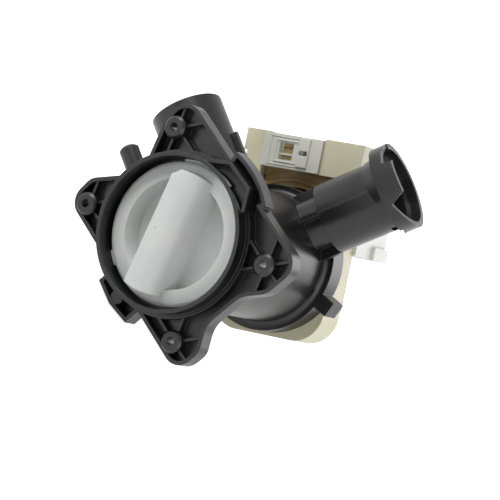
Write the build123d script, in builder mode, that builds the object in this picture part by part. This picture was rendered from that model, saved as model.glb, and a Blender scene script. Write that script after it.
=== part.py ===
from build123d import *
from math import cos, radians, sin
import os

# Washer drain pump: a filter housing with a turn-out cap, and a canned rotor motor behind it.
# Millimetres. The pump axis is Y: the flange faces -Y, the motor lies towards +Y, +Z is up.
# The origin is the centre of the four flange holes, on the faces of their bosses.

# Clearances
running_gap = 0.05
moving_gap = 0.3
seat_gap = 0.05
overrun = 1.0
quarter_turn = 90
lead_turn = 45

# Flange with four ears
bolt_x = 36.3
bolt_z = 25.7
bolt_hole_r = 1.8
boss_r = 4.9
boss_face_y = 0.0
boss_chamfer = 1.0
flange_front = 1.5
flange_back = 8.8
flange_floor = 2.2
flange_wall = 1.7
flange_rib = 1.1
rib_setback = 1.3
ear_rib_count = 6
flange_ring_r = 35.2
guard_r = 43.5
guard_start = 67
guard_sweep = 36
# Each corner: share of bolt_x, share of bolt_z, corner radius as a share of boss_r
flange_outline_shares = [
    (-1.212, 1.486, 1.67),
    (-1.174, 0.953, 1.22),
    (-0.915, 0.272, 2.04),
    (-0.915, -0.078, 1.63),
    (-1.218, -0.700, 1.43),
    (-1.190, -1.233, 1.57),
    (1.311, -1.233, 1.57),
    (1.320, -0.720, 1.43),
    (1.113, -0.350, 2.45),
    (1.113, 0.389, 2.45),
    (1.284, 0.778, 1.63),
    (1.284, 1.486, 1.69),
]

# Collar round the cap, with the entry pocket for the cap's widest lug
collar_r = 33.6
collar_wall = 1.7
collar_front = -4.7
collar_shoulder = 6.2
pocket_front = -3.2
pocket_wall = 1.5
pocket_floor = 6.2
# Each corner: share of collar_r across and up
pocket_outline_shares = [(-0.443, 0.917), (-0.188, 1.176), (0.247, 1.190), (0.438, 0.964)]

# Filter tube and the ring that takes the motor
tube_r = 28.5
tube_wall = 2.2
ring_wall = 2.8
ring_front = 86.2
ring_back = 96.0
ring_blend = 2.5
can_shoulder = 3.5
can_seat_y = 91.0
lug_angle = 16
lug_count = 2
lug_reach = 6.6
lug_width = 7.0
lug_root = 3.0

# Outlet spigot, up and a little to the right, with its collar and guide tongue
outlet_angle = 74.7
outlet_lean = 5.8
outlet_offset = 2.7
outlet_y = 77.8
outlet_neck_r = 11.4
outlet_neck_wall = 2.0
outlet_neck_end = 36.0
outlet_r = 15.65
outlet_wall = 2.25
outlet_reach = 72.1
outlet_collar_r = 19.4
outlet_collar_length = 7.1
outlet_collar_shift = 1.2
outlet_mouth_r = 16.8
outlet_mouth_depth = 5.0
flare_length = 5.0
flare_turn = 8
seam_width = 0.6
seam_rise = 0.2
tongue_height = 3.2
# The near rim: share of outlet_collar_r across, share of tongue_height along the pipe
tongue_shares = [
    (-1.10, 0.0),
    (-0.90, -0.2),
    (-0.88, -0.5),
    (-0.63, -0.5),
    (-0.61, 0.8),
    (0.10, 1.0),
    (0.29, -1.1),
    (0.89, 0.0),
    (1.10, 0.0),
]
window_width = 6.0
window_length = 4.8
window_from_mouth = 8.4
gusset_thickness = 2.2
gusset_half_width = 16.0
gusset_y = 81.5
tongue_turn = 17

# Inlet spigot and the small bleed spigot beside it
inlet_angle = 168.5
inlet_y = 61.0
inlet_r = 16.0
inlet_wall = 2.3
inlet_reach = 69.0
inlet_root_r = 16.6
inlet_root_reach = 49.5
fin_rise = 18.6
fin_reach = 49.0
spigot_y = 20.0
spigot_offset = 14.0
spigot_r = 4.3
spigot_bore_r = 2.4
spigot_reach = 51.0
spigot_chamfer = 1.0
spigot_root_r = 4.9
spigot_root_reach = 29.0

# Foot bracket under the collar
foot_front = 6.0
foot_depth = 8.0
foot_wall = 1.6
foot_x = 3.2
foot_half_width = 11.2
foot_reach = 42.6
foot_boss_r = 3.0

# Filter cap
cap_r = 30.3
cap_front = 2.1
cap_edge = 3.0
cap_crease_y = 1.2
cap_dish_step = 1.8
cap_dish_y = 10.0
cap_floor = 2.2
cap_lug_r = 31.6
# Each lug: start angle, sweep
cap_lugs = [(92, 46), (22, 44), (244, 12)]
plug_clearance = 0.7
plug_neck_step = 2.2
plug_wall = 2.0
plug_neck_y = 18.4
plug_end = 28.0
groove_depth = 1.4
groove_front = 11.6
groove_width = 3.4
seal_clearance = 0.3
handle_angle = 117.8
handle_length = 52.8
handle_front = -9.0
handle_left = 7.0
handle_right = 6.5
handle_foot = 7.6
handle_edge_r = 1.2
handle_roll_r = 8.8
handle_end_cut = 4.0

# Bayonet ledges in the tube and lugs on the plug
ledge_front = 19.0
ledge_depth = 2.4
ledge_rise = 1.7
ledge_sweep = 60
plug_lug_clearance = 0.4
plug_lug_depth = 2.6
plug_lug_sweep = 40
bayonet_count = 2

# Filter basket
basket_step = 0.8
basket_wall = 2.0
basket_end = 64.0
basket_band = 3.0
basket_bar = 3.2
basket_bar_count = 10

# Motor, turned about the pump axis so that its connector points up and left
motor_turn = 42.5
motor_left = 28.0
motor_right = 28.0
head_reach = 3.3
head_low = 40.5
head_left_reach = 1.8
head_left_low = 46.5
motor_low = 34.0
motor_high = 56.5
motor_front = 96.05
motor_plate = 2.4
motor_back = 112.0
motor_wall = 2.0
motor_corner = 14.0
motor_top_corner = 1.0
strip_low = 34.0
strip_setback = 3.3
coil_window_left = 17.5
coil_window_right = 22.5
coil_window_low = 19.0
coil_window_high = 40.2

# Stator core, coils and rivets
core_front = 107.0
core_back = 129.0
core_half_width = 20.0
core_low = 17.0
core_high = 51.0
core_bore_r = 14.9
core_slot = 4.0
core_pad = 3.0
core_pad_low = 8.0
core_pad_high = 49.0
core_pad_height = 8.0
leg_inner = 8.0
leg_low = 16.5
leg_high = 39.5
bobbin_wall = 1.0
bobbin_flange = 1.4
bobbin_low = 17.0
bobbin_high = 39.2
winding_build = 4.0
winding_corner = 3.0
rivet_r = 1.6
rivet_head_r = 2.7
rivet_head = 1.0
rivet_low_x = 16.6
rivet_high_x = 8.0
rivet_low = 12.6
rivet_high = 46.4

# Rear cover over the coils
cover_low = 8.5
cover_half_width = 29.5
cover_back = 142.0
cover_wall = 1.8
cover_edge = 0.9
cover_lug_reach = 1.6
cover_lug_height = 6.0
cover_lug_front = 128.0
cover_rib = 2.0
cover_rib_count = 3
cover_rib_pitch = 9.0
cover_rib_height = 1.6

# Connector block and its blades
connector_left = 18.0
connector_right = 11.6
connector_low = 40.4
connector_high = 55.6
connector_front = 94.6
connector_depth = 11.0
socket_left = 14.0
socket_right = 8.5
socket_wall = 2.4
socket_depth = 11.4
latch_left = 9.5
latch_right = 2.5
latch_top = 51.9
plate_left = 0.2
plate_right = 5.6
plate_low = 42.0
plate_high = 55.0
plate_rise = 0.8
bar_low = 46.4
bar_thickness = 0.8
bar_setback = 0.8
slot_left = 0.8
slot_right = 5.0
slot_low = 47.2
slot_height = 2.2
blade_width = 4.8
blade_thickness = 0.8
blade_length = 13.0
blade_pitch = 10.0

# Rotor can, bearings and rotor
can_flange_front = 91.2
can_flange_back = 95.7
can_r = 14.6
can_inner_r = 13.4
can_neck_y = 132.0
can_pocket_r = 7.5
can_end = 137.4
can_bottom = 1.0
body_seal_edge = 1.9
body_seal_width = 2.0
shaft_r = 2.0
shaft_front = 73.4
shaft_back = 135.8
bearing_r = 5.0
bearing_length = 4.0
front_bearing_y = 96.6
rear_bearing_y = 132.4
hub_r = 6.0
hub_front = 103.0
magnet_r = 12.4
magnet_front = 104.5
magnet_back = 130.5
washer_r = 5.4
washer_thickness = 0.8

# Impeller and its lost motion drive
impeller_r = 20.0
impeller_front = 70.0
impeller_back = 90.4
impeller_hub_r = 8.6
impeller_nose_r = 5.4
chamber_r = 7.0
chamber_front = 80.4
chamber_back = 89.2
blade_count = 5
blade_wall = 1.8
blade_back = 88.0
dog_hub_r = 3.6
dog_r = 6.6
dog_sweep = 44
dog_front = 81.0
dog_back = 88.6
stop_sweep = 40
buffer_sweep = 14

# Non-return valve in the outlet
seat_start = 44.0
seat_height = 4.0
seat_bore_r = 8.8
flap_r = 10.3
flap_thickness = 1.4
flap_shift = 0.6
hinge_back = 10.2
hinge_rise = 2.4
hinge_pin_r = 0.9
hinge_barrel_r = 1.7
hinge_barrel_half = 4.6
hinge_ear_inner = 4.9
hinge_ear_outer = 6.2
hinge_ear_half = 1.4
clip_half_width = 2.4
clip_wall = 1.1
clip_hook = 1.6
clip_end_gap = 0.4


def heading(angle, lean=0):
    """Unit vector at an angle from +X towards +Z, leaned towards +Y."""
    flat = cos(radians(lean))
    return Vector(cos(radians(angle)) * flat, sin(radians(lean)), sin(radians(angle)) * flat)


def across(y):
    """Sketch plane across the pump axis: X right, Z up, seen from the front."""
    return Plane.XZ.offset(-y)


def motor_plane(y):
    """Sketch plane across the motor: second direction towards its connector."""
    return Plane(origin=(0, y, 0), x_dir=heading(motor_turn), z_dir=(0, -1, 0))


def spoke_plane(origin, angle, lean=0):
    """Plane whose normal runs out along a spigot, first direction sideways."""
    return Plane(origin=origin, x_dir=heading(angle - quarter_turn), z_dir=heading(angle, lean))


def turned(points, mode=Mode.ADD):
    """Ring turned about the pump axis from radius and depth pairs."""
    with BuildSketch(Plane.XY) as profile:
        with BuildLine():
            Polyline(*points, close=True)
        make_face()
    revolve(profile.sketch, axis=Axis.Y, mode=mode)


def ring_points(inner, outer, front, back):
    """Rectangular section of a turned ring."""
    return [(inner, front), (outer, front), (outer, back), (inner, back)]


def sector(inner, outer, middle, sweep):
    """Annular sector about the origin of the sketch."""
    with BuildLine() as outline:
        CenterArc((0, 0), outer, middle - sweep / 2, sweep)
        CenterArc((0, 0), inner, middle - sweep / 2, sweep)
        Line(polar(inner, middle - sweep / 2), polar(outer, middle - sweep / 2))
        Line(polar(inner, middle + sweep / 2), polar(outer, middle + sweep / 2))
    make_face(outline.edges())


def polar(radius, angle):
    """Point at a radius and an angle in a sketch."""
    return (radius * cos(radians(angle)), radius * sin(radians(angle)))


def finish(piece, name):
    """Label a piece and write it to its own file."""
    piece.part.label = name
    export_step(piece.part, f"parts/{name}.step")


os.makedirs("parts", exist_ok=True)

# Places that several pieces share
bolt_places = [(-bolt_x, bolt_z), (-bolt_x, -bolt_z), (bolt_x, -bolt_z), (bolt_x, bolt_z)]
tube_bore_r = tube_r - tube_wall
collar_bore_r = collar_r - collar_wall
can_seat_r = tube_bore_r + can_shoulder
ring_r = can_seat_r + ring_wall
plug_r = tube_bore_r - plug_clearance
plug_neck_r = plug_r - plug_neck_step
plug_inner_r = plug_neck_r - plug_wall
cap_crease_r = plug_neck_r
cap_dish_r = cap_crease_r - cap_dish_step
groove_r = plug_r - groove_depth
seal_r = tube_bore_r - seal_clearance
ledge_inner_r = tube_bore_r - ledge_rise
plug_lug_r = tube_bore_r - plug_lug_clearance
basket_r = plug_neck_r - basket_step
can_flange_r = can_seat_r - moving_gap
body_seal_r = can_flange_r - body_seal_edge
outlet_bore_r = outlet_r - outlet_wall
outlet_start = heading(outlet_angle + quarter_turn) * outlet_offset + Vector(0, outlet_y, 0)
outlet_plane = spoke_plane(outlet_start, outlet_angle, outlet_lean)
inlet_plane = spoke_plane(Vector(0, inlet_y, 0), inlet_angle)
spigot_start = heading(inlet_angle + quarter_turn) * spigot_offset + Vector(0, spigot_y, 0)
spigot_plane = spoke_plane(spigot_start, inlet_angle)

# Outline of the flange with its four ears, and the recess inside its wall
with BuildSketch(Plane.XY) as flange_outline:
    with BuildLine():
        FilletPolyline(
            *[(x * bolt_x, z * bolt_z) for x, z, corner in flange_outline_shares],
            radius=[corner * boss_r for x, z, corner in flange_outline_shares],
            close=True,
        )
    make_face()
    Circle(flange_ring_r)
    with BuildLine():
        Line((0, 0), polar(guard_r, guard_start))
        CenterArc((0, 0), guard_r, guard_start, guard_sweep)
        Line(polar(guard_r, guard_start + guard_sweep), (0, 0))
    make_face()

with BuildSketch(Plane.XY) as flange_recess:
    add(flange_outline.sketch)
    offset(amount=-flange_wall, kind=Kind.INTERSECTION)

# Outline of the entry pocket
with BuildSketch(Plane.XY) as pocket_outline:
    with BuildLine():
        Polyline((0, 0), *[(x * collar_r, z * collar_r) for x, z in pocket_outline_shares], close=True)
    make_face()

with BuildPart() as pump_housing:
    # Collar, filter tube and motor ring
    turned([
        (0, collar_front),
        (collar_r, collar_front),
        (collar_r, flange_back),
        (tube_r, flange_back),
        (tube_r, ring_front),
        (ring_r, ring_front),
        (ring_r, ring_back),
        (0, ring_back),
    ])
    blend_edge = pump_housing.edges().filter_by(GeomType.CIRCLE)
    blend_edge = blend_edge.sort_by_distance((tube_r, ring_front, 0))[0]
    fillet(blend_edge, ring_blend)
    # Flange plate with a recessed face
    with BuildSketch(across(flange_back)):
        add(flange_outline.sketch)
    extrude(amount=flange_back - flange_front)
    with BuildSketch(across(flange_front)):
        add(flange_recess.sketch)
        Circle(flange_ring_r, mode=Mode.SUBTRACT)
        with Locations(*bolt_places):
            Circle(boss_r, mode=Mode.SUBTRACT)
    extrude(amount=-rib_setback, mode=Mode.SUBTRACT)
    with BuildSketch(across(flange_front + rib_setback)):
        add(flange_recess.sketch)
        Circle(flange_ring_r, mode=Mode.SUBTRACT)
        with Locations(*bolt_places):
            Circle(boss_r, mode=Mode.SUBTRACT)
            with PolarLocations(boss_r * 2, ear_rib_count):
                Rectangle(boss_r * 2 + flange_wall, flange_rib, mode=Mode.SUBTRACT)
    extrude(amount=flange_floor + flange_front + rib_setback - flange_back, mode=Mode.SUBTRACT)
    with BuildSketch(across(flange_back)):
        with Locations(*bolt_places):
            Circle(boss_r)
    extrude(amount=flange_back - boss_face_y - boss_chamfer)
    with BuildSketch(across(boss_face_y + boss_chamfer)):
        with Locations(*bolt_places):
            Circle(boss_r)
    extrude(amount=boss_chamfer, taper=lead_turn)
    # Entry pocket
    with BuildSketch(across(flange_back)):
        add(pocket_outline.sketch)
    extrude(amount=flange_back - pocket_front)
    # Outlet spigot
    with BuildSketch(outlet_plane):
        Circle(outlet_neck_r)
    extrude(amount=outlet_neck_end)
    with BuildSketch(outlet_plane.offset(outlet_neck_end)):
        Circle(outlet_r)
    extrude(amount=outlet_reach - outlet_neck_end)
    flare_start = outlet_reach - outlet_collar_length - flare_length
    with BuildSketch(outlet_plane.offset(flare_start)):
        with Locations((-outlet_collar_shift / 2, 0)):
            Circle(outlet_r)
    extrude(amount=flare_length, taper=-flare_turn)
    with BuildSketch(outlet_plane.offset(flare_start + flare_length)):
        with Locations((-outlet_collar_shift, 0)):
            Circle(outlet_collar_r)
    extrude(amount=outlet_collar_length + tongue_height)
    # Fine seam along the near side of the outlet
    with BuildSketch(outlet_plane.offset(outlet_neck_end)):
        with Locations((0, -outlet_r)):
            Rectangle(seam_width, 2 * seam_rise)
    extrude(amount=flare_start - outlet_neck_end)
    # Webs beside and in front of the neck of the outlet
    with BuildSketch(across(gusset_y)):
        with Locations(Location((0, 0, 0), (0, 0, outlet_angle))):
            with Locations((outlet_neck_end / 2, outlet_offset)):
                Rectangle(outlet_neck_end, 2 * gusset_half_width)
    extrude(amount=-gusset_thickness)
    with BuildSketch(outlet_plane):
        Rectangle(gusset_thickness, outlet_r, align=(Align.CENTER, Align.MAX))
    extrude(amount=outlet_neck_end + outlet_neck_wall)
    # Inlet spigot with its fin, and bleed spigot
    with BuildSketch(inlet_plane):
        Circle(inlet_r)
    extrude(amount=inlet_reach)
    with BuildSketch(inlet_plane):
        Circle(inlet_root_r)
    extrude(amount=inlet_root_reach)
    with BuildSketch(inlet_plane):
        Rectangle(fin_rise, gusset_thickness, align=(Align.MIN, Align.CENTER))
    extrude(amount=fin_reach)
    with BuildSketch(spigot_plane):
        Circle(spigot_root_r)
    extrude(amount=spigot_root_reach)
    with BuildSketch(spigot_plane):
        Circle(spigot_r)
    extrude(amount=spigot_reach - spigot_chamfer)
    with BuildSketch(spigot_plane.offset(spigot_reach - spigot_chamfer)):
        Circle(spigot_r)
    extrude(amount=spigot_chamfer, taper=lead_turn)
    # Foot bracket with two pockets and a boss
    with BuildSketch(across(foot_front)) as foot_profile:
        with BuildLine():
            Polyline(
                (foot_x - foot_half_width, -collar_r / 2),
                (foot_x - foot_half_width, -foot_reach + foot_wall),
                (foot_x, -foot_reach),
                (foot_x + foot_half_width, -foot_reach + foot_wall),
                (foot_x + foot_half_width, -collar_r / 2),
                close=True,
            )
        make_face()
    extrude(amount=-foot_depth)
    with BuildSketch(across(foot_front)):
        add(foot_profile.sketch_local)
        offset(amount=-foot_wall, kind=Kind.INTERSECTION)
        Circle(collar_r, mode=Mode.SUBTRACT)
        with Locations((foot_x, -(collar_r + foot_reach) / 2)):
            Circle(foot_boss_r, mode=Mode.SUBTRACT)
            Rectangle(foot_wall, foot_reach, mode=Mode.SUBTRACT)
    extrude(amount=foot_wall - foot_depth, mode=Mode.SUBTRACT)
    # Twist-lock lugs on the motor ring
    with BuildSketch(across(ring_front)):
        with PolarLocations(ring_r + lug_reach / 2 - lug_root / 2, lug_count, start_angle=lug_angle):
            Rectangle(lug_reach + lug_root, lug_width)
    extrude(amount=ring_front - ring_back)
    # Hollow inside: collar, tube and seat of the can
    with BuildSketch(Plane.XY):
        with BuildLine():
            Polyline(
                (0, collar_front - overrun),
                (collar_bore_r, collar_front - overrun),
                (collar_bore_r, collar_shoulder),
                (tube_bore_r, collar_shoulder),
                (tube_bore_r, can_seat_y),
                (can_seat_r, can_seat_y),
                (can_seat_r, ring_back + overrun),
                (0, ring_back + overrun),
                close=True,
            )
        make_face()
    revolve(axis=Axis.Y, mode=Mode.SUBTRACT)
    with BuildSketch(across(pocket_front - overrun)):
        add(pocket_outline.sketch)
        offset(amount=-pocket_wall, kind=Kind.INTERSECTION)
        Circle(collar_bore_r - overrun, mode=Mode.SUBTRACT)
    extrude(amount=pocket_front - overrun - pocket_floor, mode=Mode.SUBTRACT)
    # Bores of the spigots and of the flange holes
    with BuildSketch(outlet_plane):
        Circle(outlet_neck_r - outlet_neck_wall)
    extrude(amount=outlet_reach, mode=Mode.SUBTRACT)
    with BuildSketch(outlet_plane.offset(outlet_neck_end + outlet_neck_wall)):
        Circle(outlet_bore_r)
    extrude(amount=outlet_reach - outlet_neck_end, mode=Mode.SUBTRACT)
    with BuildSketch(outlet_plane.offset(outlet_reach - outlet_mouth_depth)):
        with Locations((-outlet_collar_shift, 0)):
            Circle(outlet_mouth_r)
    extrude(amount=outlet_mouth_depth + tongue_height, mode=Mode.SUBTRACT)
    with BuildSketch(inlet_plane):
        Circle(inlet_r - inlet_wall)
    extrude(amount=inlet_reach, mode=Mode.SUBTRACT)
    with BuildSketch(spigot_plane):
        Circle(spigot_bore_r)
    extrude(amount=spigot_reach, mode=Mode.SUBTRACT)
    with BuildSketch(across(flange_back)):
        with Locations(*bolt_places):
            Circle(bolt_hole_r)
    extrude(amount=flange_back - boss_face_y, mode=Mode.SUBTRACT)
    # Guide tongue: the near rim is cut to a wavy line, the far rim is cut level
    near = radians(tongue_turn)
    tongue_plane = Plane(
        origin=outlet_plane.offset(outlet_reach).origin - outlet_plane.x_dir * outlet_collar_shift,
        x_dir=outlet_plane.x_dir * cos(near) + outlet_plane.y_dir * sin(near),
        z_dir=outlet_plane.x_dir * sin(near) - outlet_plane.y_dir * cos(near),
    )
    with BuildSketch(tongue_plane):
        with BuildLine():
            Polyline(
                *[(x * outlet_collar_r, rise * tongue_height) for x, rise in tongue_shares],
                (outlet_collar_r + overrun, tongue_height + overrun),
                (-outlet_collar_r - overrun, tongue_height + overrun),
                close=True,
            )
        make_face()
    extrude(amount=outlet_collar_r + overrun, mode=Mode.SUBTRACT)
    with BuildSketch(tongue_plane):
        with Locations((0, (tongue_height + overrun) / 2)):
            Rectangle(2 * (outlet_collar_r + overrun), tongue_height + overrun)
    extrude(amount=-outlet_collar_r - overrun, mode=Mode.SUBTRACT)
    # Window for the clip of the valve
    with BuildSketch(outlet_plane.offset(outlet_reach - window_from_mouth - window_length / 2)):
        with Locations(((outlet_bore_r + outlet_collar_r) / 2, 0)):
            Rectangle(outlet_collar_r - outlet_bore_r + overrun, window_width)
    extrude(amount=window_length, mode=Mode.SUBTRACT)
    # Bayonet ledges inside the tube
    with BuildSketch(across(ledge_front)):
        for turn in range(bayonet_count):
            sector(ledge_inner_r, tube_bore_r + tube_wall / 2, turn * 360 / bayonet_count, ledge_sweep)
    extrude(amount=-ledge_depth)

finish(pump_housing, "pump_housing")

# Filter cap: a dished disc with a bar handle, and a plug behind it
handle_plane = Plane(
    origin=heading(handle_angle) * (-handle_length / 2),
    x_dir=heading(handle_angle + quarter_turn),
    z_dir=heading(handle_angle),
)
with BuildPart() as filter_cap:
    # Bar of the handle
    with BuildSketch(handle_plane) as handle_profile:
        with BuildLine():
            Polyline(
                (-handle_foot, -cap_dish_y),
                (handle_left, -cap_dish_y),
                (handle_left, -handle_front),
                (-handle_right, -handle_front),
                close=True,
            )
        make_face()
        fillet(handle_profile.vertices().sort_by(Axis.Y)[-2:].sort_by(Axis.X)[0], handle_roll_r)
        fillet(handle_profile.vertices().sort_by(Axis.Y)[-2:].sort_by(Axis.X)[-1], handle_edge_r)
    extrude(amount=handle_length)
    with BuildSketch(Plane(
        origin=(0, handle_front, 0), x_dir=heading(handle_angle + quarter_turn), z_dir=(0, -1, 0)
    )):
        with BuildLine():
            Polyline(
                (handle_left - handle_end_cut - overrun, -handle_length / 2 - overrun),
                (handle_left + overrun, -handle_length / 2 - overrun),
                (handle_left + overrun, -handle_length / 2 + handle_end_cut + overrun),
                close=True,
            )
        make_face()
    extrude(amount=handle_front - cap_crease_y, mode=Mode.SUBTRACT)
    # The ends of the bar follow the round of the cap
    turned(ring_points(
        handle_length / 2, handle_length, handle_front - overrun, cap_dish_y + overrun
    ), mode=Mode.SUBTRACT)
    turned(ring_points(
        plug_r, handle_length, cap_front + cap_edge, cap_dish_y + overrun
    ), mode=Mode.SUBTRACT)
    # Dished disc with its plug
    turned([
        (0, cap_dish_y),
        (cap_dish_r, cap_dish_y),
        (cap_crease_r, cap_crease_y),
        (cap_r - handle_edge_r, cap_front),
        (cap_r, cap_front + handle_edge_r / 2),
        (cap_r, cap_front + cap_edge),
        (plug_r, cap_front + cap_edge),
        (plug_r, groove_front),
        (groove_r, groove_front),
        (groove_r, groove_front + groove_width),
        (plug_r, groove_front + groove_width),
        (plug_r, plug_neck_y),
        (plug_neck_r, plug_neck_y),
        (plug_neck_r, plug_end),
        (plug_inner_r, plug_end),
        (plug_inner_r, cap_dish_y + cap_floor),
        (0, cap_dish_y + cap_floor),
    ])
    # Lugs of the disc and of the plug
    with BuildSketch(across(cap_front + cap_edge / 2)):
        for start, sweep in cap_lugs:
            sector(cap_r - cap_edge, cap_lug_r, start + sweep / 2, sweep)
    extrude(amount=-cap_edge / 2)
    with BuildSketch(across(ledge_front + ledge_depth + moving_gap)):
        for turn in range(bayonet_count):
            sector(plug_inner_r + cap_floor / 2, plug_lug_r, turn * 360 / bayonet_count, plug_lug_sweep)
    extrude(amount=-plug_lug_depth)

finish(filter_cap, "filter_cap")

with BuildPart() as cap_seal:
    turned(ring_points(
        groove_r + seat_gap,
        seal_r,
        groove_front + seat_gap,
        groove_front + groove_width - seat_gap,
    ))

finish(cap_seal, "cap_seal")

# Filter basket: bars between two bands, pushed into the end of the plug
with BuildPart() as filter_basket:
    turned(ring_points(basket_r - basket_wall, basket_r, plug_end + seat_gap, plug_end + basket_band))
    turned(ring_points(basket_r - basket_wall, basket_r, basket_end - basket_band, basket_end))
    turned(ring_points(
        basket_r - 2 * basket_wall,
        plug_inner_r - seat_gap,
        plug_end - basket_band,
        plug_end + basket_band,
    ))
    with BuildSketch(across(plug_end + basket_band / 2)):
        with PolarLocations(basket_r - basket_wall, basket_bar_count):
            Rectangle(basket_wall, basket_bar)
    extrude(amount=plug_end + basket_band - basket_end)

finish(filter_basket, "filter_basket")

# Rotor can: a flange at the pump and a blind tube through the stator
with BuildPart() as rotor_can:
    turned([
        (can_inner_r, can_flange_front),
        (body_seal_r - body_seal_width, can_flange_front),
        (body_seal_r - body_seal_width, can_flange_front + body_seal_width),
        (body_seal_r, can_flange_front + body_seal_width),
        (body_seal_r, can_flange_front),
        (can_flange_r, can_flange_front),
        (can_flange_r, can_flange_back),
        (can_r, can_flange_back),
        (can_r, can_neck_y),
        (can_pocket_r + can_bottom, can_neck_y),
        (can_pocket_r + can_bottom, can_end),
        (0, can_end),
        (0, can_end - can_bottom),
        (can_pocket_r, can_end - can_bottom),
        (can_pocket_r, can_neck_y - can_bottom),
        (can_inner_r, can_neck_y - can_bottom),
    ])

finish(rotor_can, "rotor_can")

with BuildPart() as body_seal:
    turned(ring_points(
        body_seal_r - body_seal_width + seat_gap,
        body_seal_r - seat_gap,
        can_seat_y + seat_gap,
        can_flange_front + body_seal_width - seat_gap,
    ))

finish(body_seal, "body_seal")

# Bearings in their rubber mounts
with BuildPart() as front_bearing:
    turned(ring_points(
        shaft_r + running_gap, bearing_r, front_bearing_y, front_bearing_y + bearing_length
    ))

finish(front_bearing, "front_bearing")

with BuildPart() as rear_bearing:
    turned(ring_points(
        shaft_r + running_gap, bearing_r, rear_bearing_y, rear_bearing_y + bearing_length - seat_gap
    ))

finish(rear_bearing, "rear_bearing")

with BuildPart() as front_bearing_mount:
    turned(ring_points(
        bearing_r, can_inner_r - seat_gap, front_bearing_y, front_bearing_y + bearing_length
    ))

finish(front_bearing_mount, "front_bearing_mount")

with BuildPart() as rear_bearing_mount:
    turned(ring_points(
        bearing_r, can_pocket_r - seat_gap, rear_bearing_y, rear_bearing_y + bearing_length - seat_gap
    ))

finish(rear_bearing_mount, "rear_bearing_mount")

# Rotor: shaft, hub, magnet and thrust washer
with BuildPart() as rotor_shaft:
    turned([(0, shaft_front), (shaft_r, shaft_front), (shaft_r, shaft_back), (0, shaft_back)])

finish(rotor_shaft, "rotor_shaft")

with BuildPart() as rotor_hub:
    turned(ring_points(shaft_r, hub_r, hub_front, magnet_back + washer_thickness / 2))

finish(rotor_hub, "rotor_hub")

with BuildPart() as rotor_magnet:
    turned(ring_points(hub_r, magnet_r, magnet_front, magnet_back))
    chamfer(rotor_magnet.edges().filter_by(GeomType.CIRCLE).group_by(SortBy.RADIUS)[-1], washer_thickness)

finish(rotor_magnet, "rotor_magnet")

with BuildPart() as thrust_washer:
    turned(ring_points(
        shaft_r, washer_r, hub_front - washer_thickness - seat_gap, hub_front - seat_gap
    ))

finish(thrust_washer, "thrust_washer")

# Drive dog on the shaft
with BuildPart() as drive_dog:
    with BuildSketch(across(dog_front)):
        sector(shaft_r + washer_thickness, dog_r, 90, dog_sweep)
        Circle(dog_hub_r)
        Circle(shaft_r, mode=Mode.SUBTRACT)
    extrude(amount=dog_front - dog_back)

finish(drive_dog, "drive_dog")

# Impeller with curved blades and a chamber for the dog
with BuildSketch(Plane.XY) as blade_outline:
    with BuildLine():
        RadiusArc((impeller_nose_r / 2, 0), (impeller_r, 0), -impeller_r)
        RadiusArc((impeller_nose_r / 2, -blade_wall), (impeller_r, -blade_wall), -impeller_r)
        Line((impeller_nose_r / 2, 0), (impeller_nose_r / 2, -blade_wall))
        Line((impeller_r, 0), (impeller_r, -blade_wall))
    make_face()

with BuildPart() as impeller:
    turned([
        (0, impeller_front),
        (impeller_nose_r, impeller_front),
        (impeller_hub_r, chamber_front),
        (impeller_hub_r, impeller_back),
        (0, impeller_back),
    ])
    with BuildSketch(across(impeller_front + impeller_nose_r / 2)):
        with PolarLocations(0, blade_count):
            add(blade_outline.sketch)
    extrude(amount=impeller_front + impeller_nose_r / 2 - blade_back)
    turned([
        (0, shaft_front - moving_gap),
        (shaft_r + running_gap, shaft_front - moving_gap),
        (shaft_r + running_gap, impeller_back + overrun),
        (0, impeller_back + overrun),
    ], mode=Mode.SUBTRACT)
    with BuildSketch(across(chamber_front)):
        Circle(chamber_r)
    extrude(amount=chamber_front - impeller_back, mode=Mode.SUBTRACT)
    with BuildSketch(across(chamber_front)):
        sector(dog_hub_r + moving_gap, (chamber_r + impeller_hub_r) / 2, -90, stop_sweep)
    extrude(amount=chamber_front - chamber_back)

finish(impeller, "impeller")

# Rubber buffers on both sides of the stop in the impeller
with BuildPart() as lash_buffers:
    with BuildSketch(across(dog_front)):
        for side in (-1, 1):
            middle = -quarter_turn + side * (stop_sweep + buffer_sweep) / 2
            sector(dog_hub_r + moving_gap, chamber_r - seat_gap, middle, buffer_sweep)
    extrude(amount=dog_front - dog_back)

finish(lash_buffers, "lash_buffers")

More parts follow.
